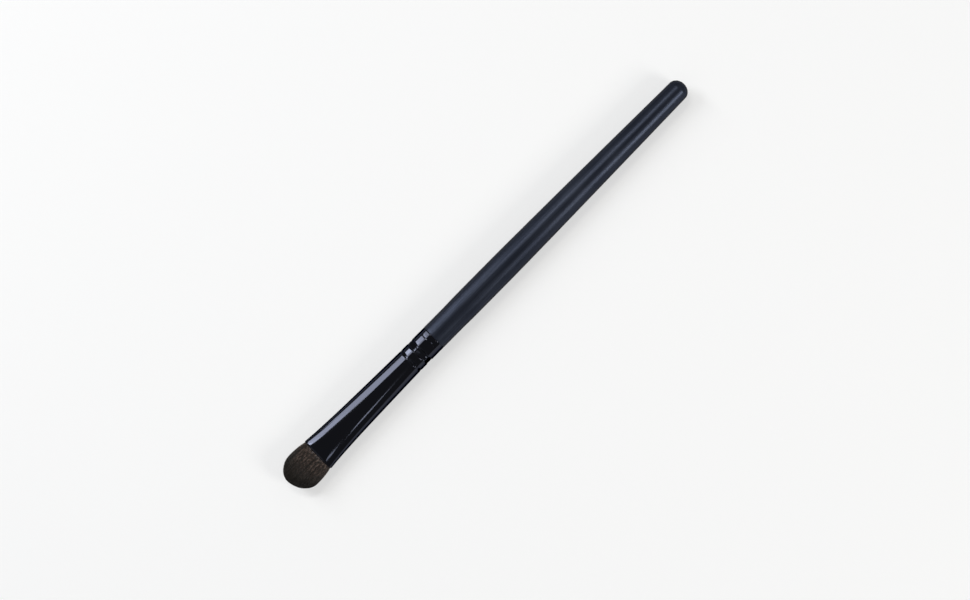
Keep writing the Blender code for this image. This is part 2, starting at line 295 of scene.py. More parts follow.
@dataclass(frozen=True)
class SatinLacquer:
    """Blue-black satin lacquer with a faint metal bloom, sprayed on turned wood.

    The grain just shows through it, and it stays dark where the surface turns away.
    """

    deep: Colour = (0.0210, 0.0255, 0.0400)
    thin: Colour = (0.0320, 0.0380, 0.0555)
    thin_span: Pair = (0.32, 0.68)
    bloom: float = 0.72
    edge: Colour = (0.10, 0.10, 0.11)
    roughness: float = 0.36
    roughness_swing: float = 0.10
    cloud: Pattern = Pattern(14 * MM)
    grain: Pattern = Pattern(0.35 * MM, 40.0, 3.0)
    grain_share: float = 0.65
    grain_height: float = 0.003 * MM
    peel: Pattern = Pattern(0.45 * MM)
    peel_height: float = 0.0035 * MM

    def make(self) -> bpy.types.Material:
        """Builds the material.

        Returns:
            The material.
        """
        surface = Surface("satin_lacquer")
        grain, cloud = surface.noise(self.grain), surface.noise(self.cloud)
        mottled = grain * self.grain_share + cloud * (1 - self.grain_share)
        shade = mottled.ramp(*self.thin_span, smooth=True)
        height = surface.noise(self.peel) * self.peel_height + grain * self.grain_height
        return surface.finished(
            Base_Color=surface.mix(shade, self.deep, self.thin),
            Metallic=self.bloom,
            Specular_Tint=self.edge,
            Roughness=self.roughness + (cloud - 0.5) * self.roughness_swing,
            Normal=surface.bump(height, 1.0),
        )


@dataclass(frozen=True)
class GlossEnamel:
    """Gloss black enamel on drawn metal, rubbed a little at the mouth and rear edge."""

    black: Colour = (0.0345, 0.0370, 0.0490)
    edge: Colour = (0.08, 0.08, 0.09)
    roughness: float = 0.085
    haze: Pattern = Pattern(2.4 * MM, 6.0, 3.0)
    haze_least: float = 0.7
    haze_swing: float = 0.6
    waves: Pattern = Pattern(2.4 * MM, 3.0, 1.0)
    wave_height: float = 0.006 * MM
    rubbed: Colour = (0.10, 0.10, 0.11)
    rubbed_roughness: float = 0.30
    rubbed_width: float = 0.35 * MM
    rubbed_span: Pair = (0.35, 0.75)
    specks: Pattern = Pattern(0.12 * MM, detail=4.0)

    def make(self, rear: float, mouth: float) -> bpy.types.Material:
        """Builds the material.

        Args:
            rear: Where the ferrule's rear edge is along X.
            mouth: Where its mouth is.

        Returns:
            The material.
        """
        surface = Surface("gloss_enamel")
        along, _, _ = surface.split(surface.place)
        at_mouth = along.ramp(mouth - self.rubbed_width, mouth)
        at_rear = along.ramp(rear + self.rubbed_width, rear)
        speckled = (at_mouth + at_rear) * surface.noise(self.specks)
        worn = speckled.ramp(*self.rubbed_span, smooth=True)
        gloss = self.roughness * (self.haze_least + surface.noise(self.haze) * self.haze_swing)
        return surface.finished(
            Base_Color=surface.mix(worn, self.black, self.rubbed),
            Metallic=1.0,
            Specular_Tint=self.edge,
            Roughness=gloss + worn * (self.rubbed_roughness - self.roughness),
            Normal=surface.bump(surface.noise(self.waves), self.wave_height),
        )


@dataclass(frozen=True)
class DarkHair:
    """Fine dark brown hair. Each strand has its own shade and darkens towards its tip."""

    shades: tuple[tuple[float, Colour], ...] = (
        (0.0, (0.006, 0.0042, 0.0033)),
        (0.40, (0.023, 0.0150, 0.0118)),
        (0.80, (0.064, 0.0430, 0.0350)),
        (1.0, (0.220, 0.1630, 0.1350)),
    )
    strand_swing: float = 0.6
    patches: Pattern = Pattern(0.27 * MM, 2.4, 3.0)
    patch_swing: float = 2.5
    dusted: Colour = (0.130, 0.110, 0.110)
    dust: Pattern = Pattern(0.45 * MM, 1.6, 1.0)
    dust_span: Pair = (0.52, 0.64)
    dust_reach: Pair = (0.21, 0.13)
    tip: Colour = (0.0165, 0.0140, 0.0115)
    tip_reach: Pair = (0.30, 0.92)
    tip_share: float = 0.95
    rim: Colour = (0.0050, 0.0020, 0.0025)
    rim_reach: Pair = (0.90, 0.97)
    rim_layer: float = 0.5
    roughness: float = 0.38
    roughness_swing: float = 0.15
    gloss: float = 0.3

    def make(self) -> bpy.types.Material:
        """Builds the material.

        Returns:
            The material.
        """
        surface = Surface("dark_brown_hair")
        strand, along = surface.value("strand"), surface.value("along")
        patches = surface.noise(self.patches)
        swing = (strand - 0.5) * self.strand_swing + (patches - 0.5) * self.patch_swing
        tone = (0.5 + swing).ramp(0.0, 1.0)
        shade = surface.add("ShaderNodeValToRGB", tone, stops=self.shades)["Color"]
        dust = surface.noise(self.dust).ramp(*self.dust_span) * along.ramp(*self.dust_reach)
        dark = along.ramp(*self.tip_reach, smooth=True) * self.tip_share
        edge = abs(surface.value("across")).ramp(self.rim_layer, 0.0) * along.ramp(*self.rim_reach)
        browned = surface.mix(dark, surface.mix(dust, shade, self.dusted), self.tip)
        return surface.finished(
            Base_Color=surface.mix(edge, browned, self.rim),
            Roughness=self.roughness + strand * self.roughness_swing,
            Specular_IOR_Level=self.gloss,
        )


@dataclass(frozen=True)
class CuredResin:
    """Amber resin with the roots of the hair in it."""

    amber: Colour = (0.36, 0.19, 0.065)
    cloud: Pattern = Pattern(1.6 * MM)
    root: Colour = (0.05, 0.033, 0.024)
    roots: Pattern = Pattern(0.11 * MM, 30.0, 1.0)
    root_span: Pair = (0.46, 0.58)
    root_height: float = 0.01 * MM
    roughness: float = 0.22
    roughness_swing: float = 0.12

    def make(self) -> bpy.types.Material:
        """Builds the material.

        Returns:
            The material.
        """
        surface = Surface("root_resin")
        roots = surface.noise(self.roots).ramp(*self.root_span, smooth=True)
        clouds = surface.noise(self.cloud)
        return surface.finished(
            Base_Color=surface.mix(roots, surface.mix(clouds, self.amber, self.root), self.root),
            Roughness=self.roughness + clouds * self.roughness_swing,
            Normal=surface.bump(roots, self.root_height),
        )


@dataclass(frozen=True)
class WaxedThread:
    """Black waxed thread. Its fibres lie along each ply."""

    wax: Colour = (0.012, 0.012, 0.012)
    fibre: Colour = (0.030, 0.028, 0.027)
    fibres: Pattern = Pattern(0.035 * MM, 0.4, 3.0)
    fibre_span: Pair = (0.35, 0.65)
    fibre_height: float = 0.01 * MM
    roughness: float = 0.55
    roughness_swing: float = 0.3

    def make(self) -> bpy.types.Material:
        """Builds the material.

        Returns:
            The material.
        """
        surface = Surface("waxed_thread")
        fibres = surface.noise(self.fibres)
        return surface.finished(
            Base_Color=surface.mix(fibres.ramp(*self.fibre_span), self.wax, self.fibre),
            Roughness=self.roughness + fibres * self.roughness_swing,
            Normal=surface.bump(fibres, self.fibre_height),
        )


@dataclass(frozen=True)
class CuredGlue:
    """Off-white glue that set with small bubbles."""

    milk: Colour = (0.72, 0.67, 0.55)
    bubble: Colour = (0.50, 0.44, 0.33)
    bubble_spacing: float = 0.55 * MM
    bubble_span: Pair = (0.32, 0.18)
    bubble_depth: float = 0.03 * MM
    cloud: Pattern = Pattern(0.9 * MM)
    roughness: float = 0.34
    roughness_swing: float = 0.2

    def make(self) -> bpy.types.Material:
        """Builds the material.

        Returns:
            The material.
        """
        surface = Surface("cured_glue")
        scale = 1 / self.bubble_spacing
        cells = surface.add("ShaderNodeTexVoronoi", Vector=surface.place, Scale=scale)["Distance"]
        bubbles = cells.ramp(*self.bubble_span, smooth=True)
        return surface.finished(
            Base_Color=surface.mix(bubbles, self.milk, self.bubble),
            Roughness=self.roughness + surface.noise(self.cloud) * self.roughness_swing,
            Normal=surface.bump(1 - bubbles, self.bubble_depth),
        )


def shown(mesh: bpy.types.Mesh, slot: Slot, *nodes: str) -> None:
    """Shows a finished mesh as a piece of the brush that has the mesh's name.

    Args:
        mesh: The mesh, already in place and wearing its material.
        slot: The material slot that its finish belongs to. It is not used.
        *nodes: The nodes of the frame that it stands for.
    """
    piece = bpy.data.objects.new(mesh.name, mesh)
    bpy.context.scene.collection.objects.link(piece)
    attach(piece, "root")
    if nodes:
        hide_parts(*nodes)
    mesh.calc_loop_triangles()
    LOG.info("%s: %d triangles", mesh.name, len(mesh.loop_triangles))


def turned_out(mesh: bpy.types.Mesh) -> bpy.types.Mesh:
    """Turns a closed mesh's faces outwards and shades it smooth.

    Args:
        mesh: The mesh.

    Returns:
        The same mesh.
    """
    mesh.calc_loop_triangles()
    corners = np.array([t.vertices for t in mesh.loop_triangles])
    points = np.array([v.co for v in mesh.vertices])
    a, b, c = (points[corners[:, index]] for index in range(3))
    if np.einsum("ij,ij->i", a, np.cross(b, c)).sum() < 0:
        mesh.flip_normals()
    mesh.shade_smooth()
    return mesh


def line_mesh(name: str, points: Sequence[Sequence[float]]) -> bpy.types.Mesh:
    """Makes a mesh of one open line.

    Args:
        name: The mesh's name.
        points: The points along the line.

    Returns:
        The mesh.
    """
    mesh = bpy.data.meshes.new(name)
    mesh.from_pydata([tuple(point) for point in points], [(i, i + 1) for i in range(len(points) - 1)], [])
    return mesh


def skin(name: str, rings: np.ndarray, finish: bpy.types.Material, endless: bool = False) -> bpy.types.Mesh:
    """Lays a smooth skin over rings of points.

    Args:
        name: The mesh's name.
        rings: The points, as rings by sides by coordinates.
        finish: The material that it wears.
        endless: Whether the last ring runs on into the first. If not, each end is
            closed with a fan round its middle.

    Returns:
        The mesh, with its faces pointing out.
    """
    count, sides, _ = rings.shape
    points = rings.reshape(-1, 3)
    following = np.roll(np.arange(sides), -1)
    faces = []
    for ring in range(count if endless else count - 1):
        here, there = ring * sides, (ring + 1) % count * sides
        lower = here + np.arange(sides), here + following
        upper = there + following, there + np.arange(sides)
        faces += np.stack((*lower, *upper), axis=1).tolist()
    if not endless:
        points = np.vstack((points, rings[0].mean(axis=0), rings[-1].mean(axis=0)))
        first, last = len(points) - 2, len(points) - 1
        top = (count - 1) * sides
        for side, other in enumerate(following.tolist()):
            faces.append((side, first, other))
            faces.append((top + side, top + other, last))
    mesh = bpy.data.meshes.new(name)
    mesh.from_pydata(points.tolist(), [], faces)
    mesh.materials.append(finish)
    return turned_out(mesh)


class Builder(Graph):
    """A Geometry Nodes tree with named inputs, which turns one mesh into another."""

    def __init__(self, name: str) -> None:
        """Makes the tree with its geometry sockets.

        Args:
            name: The name of the tree and of the mesh that it makes.
        """
        super().__init__(bpy.data.node_groups.new(name, "GeometryNodeTree"))
        self.name = name
        self.values: dict[str, object] = {}
        for way in ("INPUT", "OUTPUT"):
            self.tree.interface.new_socket("Geometry", in_out=way, socket_type="NodeSocketGeometry")
        self.start = self.add("NodeGroupInput")

    def inputs(self, **values: object) -> list[Wire]:
        """Adds named inputs.

        Args:
            **values: Each input's number, whole number or material, under its name with
                underscores for spaces.

        Returns:
            The inputs inside the tree.
        """
        kinds = {int: "NodeSocketInt", float: "NodeSocketFloat"}
        for key, value in values.items():
            name, kind = key.replace("_", " "), kinds.get(type(value), "NodeSocketMaterial")
            socket = self.tree.interface.new_socket(name, in_out="INPUT", socket_type=kind)
            self.values[socket.identifier] = value
        return [self.start[key] for key in values]

    def run(self, shape: Wire, base: bpy.types.Mesh, finish: bpy.types.Material) -> bpy.types.Mesh:
        """Ends the tree, runs it on a mesh and takes the result as a plain mesh.

        Args:
            shape: The geometry that the tree has made.
            base: The mesh that it starts from.
            finish: The material that the result wears.

        Returns:
            The finished mesh.
        """
        (wear,) = self.inputs(Finish=finish)
        real = self.add("GeometryNodeRealizeInstances", shape)["Geometry"]
        self.add("NodeGroupOutput", self.add("GeometryNodeSetMaterial", real, Material=wear)["Geometry"])
        carrier = bpy.data.objects.new(self.name, base)
        bpy.context.scene.collection.objects.link(carrier)
        modifier = carrier.modifiers.new(self.name, "NODES")
        modifier.node_group = self.tree
        for identifier, value in self.values.items():
            modifier[identifier] = value
        bpy.context.view_layer.update()
        evaluated = carrier.evaluated_get(bpy.context.evaluated_depsgraph_get())
        mesh = bpy.data.meshes.new_from_object(evaluated)
        carrier.modifiers.clear()
        bpy.data.objects.remove(carrier)
        mesh.name = self.name
        return turned_out(mesh)

    def base_curve(self) -> Wire:
        """Returns the mesh that the tree starts from, as a curve."""
        return self.add("GeometryNodeMeshToCurve", self.start["Geometry"])["Curve"]

    def resampled(self, line: Wire, count: object) -> Wire:
        """Returns a curve with an even count of points."""
        return self.add("GeometryNodeResampleCurve", Curve=line, Count=count, mode="COUNT")["Curve"]

    def along(self) -> Wire:
        """Returns how far along its curve a point is, from 0 to 1."""
        return self.add("GeometryNodeSplineParameter")["Factor"]

    def moved(self, shape: Wire, **sockets: Wire) -> Wire:
        """Returns the geometry with its points moved to a Position or by an Offset."""
        return self.add("GeometryNodeSetPosition", shape, **sockets)["Geometry"]

    def sweep(self, line: Wire, radius: Wire, sides: Wire, around: str = "") -> Wire:
        """Sweeps a circle along a curve.

        Args:
            line: The curve.
            radius: The circle's radius at each point.
            sides: How many sides the circle has.
            around: The name under which the mesh keeps how far round a point is, or
                nothing.

        Returns:
            The closed tube.
        """
        circle = self.add("GeometryNodeCurvePrimitiveCircle", Resolution=sides, Radius=1.0)["Curve"]
        if around:
            circle = self.stored(circle, around, self.along())
        sockets = {"Profile_Curve": circle, "Scale": radius, "Fill_Caps": True}
        return self.add("GeometryNodeCurveToMesh", line, **sockets)["Mesh"]

    def stored(self, shape: Wire, name: str, value: Wire, **settings: str) -> Wire:
        """Returns the geometry with a value kept on it under a name."""
        sockets = {"Geometry": shape, "Name": name, "Value": value}
        return self.add("GeometryNodeStoreNamedAttribute", **settings, **sockets)["Geometry"]

    def named(self, name: str) -> Wire:
        """Returns a value that the geometry carries under a name."""
        return self.add("GeometryNodeInputNamedAttribute", Name=name)["Attribute"]

    def chance(self, low: float, high: float, seed: int) -> Wire:
        """Returns a random number for each element, the same at every run."""
        sockets = {"Min_001": low, "Max_001": high, "Seed": seed}
        return self.add("FunctionNodeRandomValue", **sockets)["Value_001"]


@dataclass(frozen=True)
class Place:
    """Where the brush lies in the frame."""

    start: float
    shoulder: float
    mouth: float
    tip: float
    height: float

    @staticmethod
    def found() -> Place:
        """Reads the place from the frame's nodes.

        Returns:
            The place.
        """
        handle_low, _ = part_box("handle")
        ferrule_low, ferrule_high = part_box("ferrule")
        _, hair_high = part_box("hair_tuft")
        height = (ferrule_low.z + ferrule_high.z) / 2
        return Place(handle_low.x, ferrule_low.x, ferrule_high.x, hair_high.x, height)


@dataclass(frozen=True)
class Handle:
    """The turned stick, with the tenon that the ferrule is crimped onto."""

    place: Place
    end_radius: float = 3.24 * MM
    full_radius: float = 4.24 * MM
    dome_depth: float = 2.75 * MM
    land_length: float = 14.5 * MM
    neck_length: float = 13.6 * MM
    neck_ease_share: float = 0.45
    swell_power: float = 1.25
    shoulder_radius: float = 4.145 * MM
    shoulder_gap: float = 0.02 * MM
    shoulder_step: float = 0.0012 * MM
    edge_rounding: float = 0.12 * MM
    tenon_radius: float = 3.445 * MM
    tenon_length: float = 14.5 * MM
    nose_length: float = 4.0 * MM
    nose_narrowing: float = 0.86 * MM
    sides: int = 128
    dome_steps: int = 26
    first_step: float = math.radians(2)
    stick_steps: int = 90
    edge_steps: int = 8
    tenon_steps: int = 30

    def stations(self) -> list[float]:
        """Lists the places along the handle that get a ring.

        Returns:
            The places, counted from the handle's end.
        """
        length = self.place.shoulder - self.place.start - self.shoulder_gap
        edge = length - self.edge_rounding
        quarter = np.linspace(self.first_step, math.pi / 2, self.dome_steps)
        dome = self.dome_depth * (1 - np.cos(quarter))
        stick = np.linspace(self.dome_depth, edge, self.stick_steps)
        rounding = edge + self.edge_rounding * np.sin(np.linspace(0, math.pi / 2, self.edge_steps))
        tenon = np.linspace(0, self.tenon_length, self.tenon_steps) + self.shoulder_step + length
        return [*dome, *stick[1:], *rounding[1:], *tenon]

    def make(self, finish: bpy.types.Material) -> None:
        """Turns the handle from a line of stations and shows it.

        Args:
            finish: The lacquer.
        """
        points = [(self.place.start + place, 0.0, self.place.height) for place in self.stations()]
        tree = Builder("handle_body")
        start, shoulder, neck, ease, land, dome, edge = tree.inputs(
            Start=self.place.start,
            Shoulder=self.place.shoulder - self.place.start,
            Neck_Length=self.neck_length,
            Neck_Ease=self.neck_length * self.neck_ease_share,
            Land_Length=self.land_length,
            Dome_Depth=self.dome_depth,
            Edge_Rounding=self.edge_rounding,
        )
        end_radius, full_radius, shoulder_radius, tenon_radius, sides = tree.inputs(
            End_Radius=self.end_radius,
            Full_Radius=self.full_radius,
            Shoulder_Radius=self.shoulder_radius,
            Tenon_Radius=self.tenon_radius,
            Sides=self.sides,
        )
        along = tree.split(tree.add("GeometryNodeInputPosition")["Position"])[0] - start
        falling = 1 - along.ramp(0.0, dome)
        radius = end_radius * (1 - falling * falling).math("SQRT")
        unswollen = 1 - along.ramp(dome, shoulder - neck - land)
        radius = radius + (full_radius - end_radius) * (1 - unswollen**self.swell_power)
        eased = along.ramp(shoulder - neck, shoulder - neck + ease, smooth=True)
        radius = radius - (full_radius - shoulder_radius) * eased
        last = shoulder - self.shoulder_gap
        over = along.ramp(last - edge, last)
        radius = radius - edge * (1 - (1 - over * over).math("SQRT"))
        nose = along.ramp(last + self.tenon_length - self.nose_length, last + self.tenon_length)
        tenon = tenon_radius - nose * self.nose_narrowing
        radius = radius + along.math("GREATER_THAN", last) * (tenon - radius)
        tube = tree.sweep(tree.base_curve(), radius, sides)
        shown(tree.run(tube, line_mesh("stations", points), finish), Slot.LACQUER, "handle")


@dataclass(frozen=True)
class DentRow:
    """A row of the crimp: where it starts, how long and deep it is, and its ramps' length.

    A long row was pressed by a jaw with two noses, so its middle is a little less deep.
    """

    start: float
    length: float
    depth: float
    ramp: float
    middle_share: float = 1.0
    middle_narrowness: float = 3.0

    def pressed(self, place: np.ndarray) -> np.ndarray:
        """Works out how deep the row is.

        Args:
            place: Places from the ferrule's rear edge.

        Returns:
            The depth at each place.
        """
        inward = np.minimum(place - self.start, self.start + self.length - place) / self.ramp
        rise = np.clip(inward, 0, 1)
        off_middle = (place - self.start - self.length / 2) / (self.length / 2)
        middle = np.clip(1 - (off_middle * self.middle_narrowness) ** 2, 0, 1)
        return self.depth * (1 - (1 - self.middle_share) * middle) * rise**2 * (3 - 2 * rise)


@dataclass(frozen=True)
class Ferrule:
    """The drawn tube: round and crimped at the handle, pressed flat and wide at its mouth."""

    place: Place
    radius: float = 4.145 * MM
    wall: float = 0.4 * MM
    mouth_width: float = 11.2 * MM
    mouth_thickness: float = 4.2 * MM
    round_length: float = 10.5 * MM
    round_power: float = 2.0
    mouth_power: float = 3.0
    even_share: float = 0.6
    pressing_power: int = 5
    recess: float = 0.8 * MM
    ring_place: float = 1.7 * MM
    ring_reach: float = 0.32 * MM
    ring_depth: float = 0.026 * MM
    rows: tuple[DentRow, ...] = (
        DentRow(4.65 * MM, 2.6 * MM, 0.48 * MM, 0.50 * MM, 0.88),
        DentRow(9.05 * MM, 1.15 * MM, 0.34 * MM, 0.40 * MM),
    )
    jaws: int = 6
    jaw_turn: float = math.radians(34.5)
    jaw_rounding: float = 0.09 * MM
    rear_rounding: float = 0.1 * MM
    sides: int = 200
    crimp_steps: int = 110
    taper_steps: int = 70
    lip_steps: int = 12
    inner_steps: int = 40

    def section(self, place: np.ndarray) -> tuple[np.ndarray, np.ndarray, np.ndarray]:
        """Works out the tube's outer section, which is pressed flatter towards the mouth.

        Args:
            place: Places from the rear edge.

        Returns:
            Half the thickness, half the width and the squareness at each place.
        """
        length = self.place.mouth - self.place.shoulder
        run = np.clip((place - self.round_length) / (length - self.round_length), 0, 1)
        pressed = self.even_share * run + (1 - self.even_share) * run**self.pressing_power
        thickness = self.radius + (self.mouth_thickness / 2 - self.radius) * pressed
        width = self.radius + (self.mouth_width / 2 - self.radius) * pressed
        return thickness, width, self.round_power + (self.mouth_power - self.round_power) * pressed

    def loops(self, place: np.ndarray, inset: np.ndarray, turns: np.ndarray) -> np.ndarray:
        """Places points on the tube.

        Args:
            place: Places from the rear edge, one for each ring.
            inset: How far in from the outside each point is, for all rings or points.
            turns: The turn of each point of a ring.

        Returns:
            The points, as rings by turns by coordinates.
        """
        thickness, width, power = (value[:, None] for value in self.section(place))
        up, side = np.cos(turns)[None, :], np.sin(turns)[None, :]
        z = (thickness - inset) * np.sign(up) * np.abs(up) ** (2 / power)
        y = -(width - inset) * np.sign(side) * np.abs(side) ** (2 / power)
        x = np.broadcast_to(self.place.shoulder + place[:, None], z.shape)
        return np.stack((x, y, z + self.place.height), axis=2)

    def pressed_in(self, place: np.ndarray, turns: np.ndarray) -> np.ndarray:
        """Works out how deep the ring and the jaws' flats are.

        Args:
            place: Places from the rear edge, one for each ring of points.
            turns: The turn of each point of a ring.

        Returns:
            The depths, as rings by turns.
        """
        ring = np.clip(1 - ((place - self.ring_place) / self.ring_reach) ** 2, 0, 1) ** 2
        depth = np.repeat(self.ring_depth * ring[:, None], len(turns), axis=1)
        spacing = math.tau / self.jaws
        off_jaw = (turns - self.jaw_turn + spacing / 2) % spacing - spacing / 2
        for row in self.rows:
            pressed = row.pressed(place)[:, None]
            flat = (self.radius - (self.radius - pressed) / np.cos(off_jaw)) / 2
            rounding = self.jaw_rounding * pressed / row.depth
            depth = np.maximum(depth, flat + np.sqrt(flat**2 + rounding**2))
        return depth

    def wall_path(self) -> tuple[np.ndarray, np.ndarray]:
        """Goes once round the wall: outside, lip, inside, rear edge.

        Returns:
            The places from the rear edge, and how far in from the outside each is.
        """
        length = self.place.mouth - self.place.shoulder
        lip, rear = self.wall / 2, self.rear_rounding
        crimp = np.linspace(rear, self.round_length, self.crimp_steps)
        taper = np.linspace(self.round_length, length - lip, self.taper_steps)[1:]
        turn = np.linspace(0, math.pi, self.lip_steps)[1:-1]
        inside = np.linspace(length - lip, rear, self.inner_steps)
        corner = np.linspace(0, math.pi / 2, self.lip_steps // 2)[1:]
        place = np.concatenate((
            crimp, taper, length - lip + lip * np.sin(turn), inside,
            rear * (1 - np.sin(corner)), rear * (1 - np.cos(corner[:-1])),
        ))
        inset = np.concatenate((
            np.zeros(len(crimp) + len(taper)), lip * (1 - np.cos(turn)),
            np.full(len(inside), self.wall), self.wall - rear * (1 - np.cos(corner)),
            rear * (1 - np.sin(corner[:-1])),
        ))
        return place, inset

    def make(self, finish: bpy.types.Material) -> None:
        """Draws, crimps and shows the ferrule.

        Args:
            finish: The enamel.
        """
        place, inset = self.wall_path()
        turns = np.linspace(0, math.tau, self.sides, endpoint=False)
        rings = self.loops(place, inset[:, None] + self.pressed_in(place, turns), turns)
        shown(skin("ferrule_shell", rings, finish, endless=True), Slot.ENAMEL, "ferrule")


@dataclass(frozen=True)
class Filling:
    """What is set inside the ferrule: the glue, the resin block and the slice that holds the hair."""

    ferrule: Ferrule
    gap: float = 0.3 * MM
    sides: int = 96
    plug_chamfer: float = 0.25 * MM
    plug_length: float = 1.8 * MM
    crown_length: float = 0.7 * MM
    crown_narrowing: float = 2.2 * MM
    crown_first_angle: float = 0.15
    crown_steps: int = 10

    def body(self, name: str, outline: Sequence[Pair], finish: bpy.types.Material) -> bpy.types.Mesh:
        """Makes a solid that fits the tube.

        Args:
            name: The mesh's name.
            outline: Places from the ferrule's rear edge, each with how far the solid
                is drawn in from its clearance to the wall.
            finish: The material.

        Returns:
            The mesh.
        """
        place, inset = (np.array(values) for values in zip(*outline))
        turns = np.linspace(0, math.tau, self.sides, endpoint=False)
        drawn_in = self.ferrule.wall + self.gap + inset[:, None]
        return skin(name, self.ferrule.loops(place, drawn_in, turns), finish)

    def plug(self, tenon_length: float, finish: bpy.types.Material) -> None:
        """Shows the plug of glue ahead of the tenon, with its crown towards the hair.

        Args:
            tenon_length: How far the tenon reaches into the ferrule.
            finish: The glue's material.
        """
        start = tenon_length + self.gap
        end = start + self.plug_length
        outline = [(start, self.plug_chamfer), (start + self.plug_chamfer, 0.0), (end, 0.0)]
        for angle in np.linspace(self.crown_first_angle, math.pi / 2, self.crown_steps):
            narrowing = self.crown_narrowing * (1 - math.cos(angle))
            outline.append((end + self.crown_length * math.sin(angle), narrowing))
        shown(self.body("tenon_glue_plug", outline, finish), Slot.GLUE, "tenon_glue")


@dataclass(frozen=True)
class Roots:
    """The roots of the hair: the resin, its waist and the thread tied round it."""

    filling: Filling
    slice_length: float = 1.1 * MM
    slice_chamfer: float = 0.1 * MM
    block_length: float = 13.5 * MM
    bead_length: float = 1.5 * MM
    chamfer: float = 0.4 * MM
    steepness: float = 3.0
    thread_diameter: float = 0.4 * MM
    thread_spacing: float = 0.45 * MM
    turns: int = 4
    turn_points: int = 48
    ply_sides: int = 10
    ply_share: float = 0.5
    ply_fineness: int = 5
    plies: int = 2
    plies_per_turn: int = 11
    skirt_steps: int = 24

    def make(self, resin: bpy.types.Material, thread: bpy.types.Material) -> None:
        """Shows the slice of resin that holds the hair, the resin block and the thread.

        Args:
            resin: The resin's material.
            thread: The thread's material.
        """
        place, gap = self.filling.ferrule.place, self.filling.gap
        front = place.mouth - place.shoulder - self.filling.ferrule.recess
        rear = front - self.slice_length
        sliced = [(rear, self.slice_chamfer), (rear + self.slice_chamfer, 0.0), (front, 0.0)]
        shown(self.filling.body("hair_root_slice", sliced, resin), Slot.RESIN)

        block_front = rear - gap
        block_rear = block_front - self.block_length
        waist = self.thread_diameter + gap
        pitch = self.thread_diameter + self.thread_spacing
        waist_start = block_rear + self.bead_length
        waist_end = waist_start + self.turns * pitch + self.thread_diameter + 2 * gap
        outline = [
            (block_rear, self.chamfer),
            (block_rear + self.chamfer / self.steepness, self.chamfer / self.steepness),
            (block_rear + self.chamfer, 0.0),
            (waist_start, 0.0),
            (waist_start + gap / self.steepness, waist),
            (waist_end - gap / self.steepness, waist),
        ]
        skirt = np.linspace(waist_end, block_front, self.skirt_steps)
        outline += [(station, 0.0) for station in skirt]
        shown(self.filling.body("root_resin_block", outline, resin), Slot.RESIN, "root_block")
        self.wind(waist_start + gap + self.thread_diameter / 2, pitch, thread)

    def wind(self, start: float, pitch: float, finish: bpy.types.Material) -> None:
        """Winds the thread round the waist, as plies twisted together.

        Args:
            start: Where the first turn starts, from the ferrule's rear edge.
            pitch: How far a turn moves on.
            finish: The material.
        """
        ferrule = self.filling.ferrule
        inset = ferrule.wall + self.filling.gap + self.thread_diameter / 2
        points = [
            ferrule.loops(np.array([start + pitch * turned]), inset, np.array([math.tau * turned]))[0, 0]
            for turned in np.arange(self.turns * self.turn_points + 1) / self.turn_points
        ]
        tree = Builder("binding_thread_plies")
        radius, twists, sides = tree.inputs(
            Ply_Radius=self.thread_diameter / 2 * self.ply_share,
            Twists=float(self.turns * self.plies_per_turn),
            Sides=self.ply_sides,
        )
        curve = tree.resampled(tree.base_curve(), len(points) * self.ply_fineness)
        factor = tree.along()
        normal = tree.add("GeometryNodeInputNormal")["Normal"]
        across = tree.vector("CROSS_PRODUCT", tree.add("GeometryNodeInputTangent")["Tangent"], normal)
        join = tree.add("GeometryNodeJoinGeometry")
        for ply in range(self.plies):
            angle = factor * twists * math.tau + math.tau * ply / self.plies
            out = tree.vector("SCALE", normal, Scale=angle.math("COSINE") * radius)
            over = tree.vector("SCALE", across, Scale=angle.math("SINE") * radius)
            moved = tree.moved(curve, Offset=tree.vector("ADD", out, over))
            tree.fill(join.node.inputs["Geometry"], tree.sweep(moved, radius, sides))
        mesh = tree.run(join["Geometry"], line_mesh("winding", points), finish)
        shown(mesh, Slot.THREAD, "binding_thread")


class Layer(Enum):
    """The layers of the tuft, each from one share of half its thickness to another."""

    LOWER = (-1.1, -0.36)
    MIDDLE = (-0.36, 0.36)
    UPPER = (0.36, 1.1)


